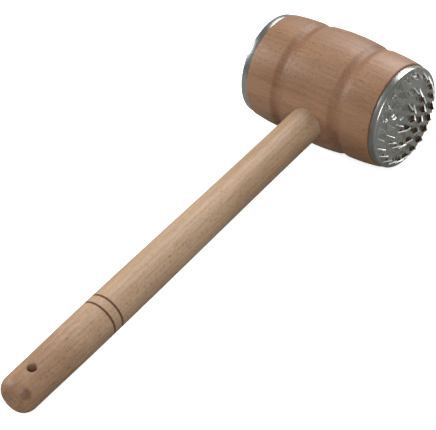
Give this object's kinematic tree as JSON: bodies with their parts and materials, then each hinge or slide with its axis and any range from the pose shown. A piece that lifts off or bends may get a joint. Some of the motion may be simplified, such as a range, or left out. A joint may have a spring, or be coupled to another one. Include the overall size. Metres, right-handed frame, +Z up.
{
  "type": "meat mallet",
  "caption": "Wooden meat mallet with a turned head, one smooth and one toothed steel cap, and a long turned handle with a hanging hole.",
  "frame": {"origin": "bottom centre of the bounding box; the mallet lies on z = 0 on the belly of its head and the butt of its handle", "axes": "+X along the head's axis towards the toothed face, -Y along the handle towards its butt (sloping about 4.5 degrees down), +Z up from the worktop"},
  "size_m": [0.1008, 0.3278, 0.0696],
  "materials": {
    "beech": "unfinished turned beech, fine sanded",
    "beech_handle": "unfinished turned beech, fine sanded, two burnt ring cuts",
    "steel": "plain pressed sheet steel",
    "toothed_steel": "pressed and pierced sheet steel"
  },
  "bodies": {
    "root": {"head_barrel": "beech", "handle": "beech_handle", "smooth_cap": "steel", "toothed_cap": "toothed_steel"}
  },
  "joints": []
}
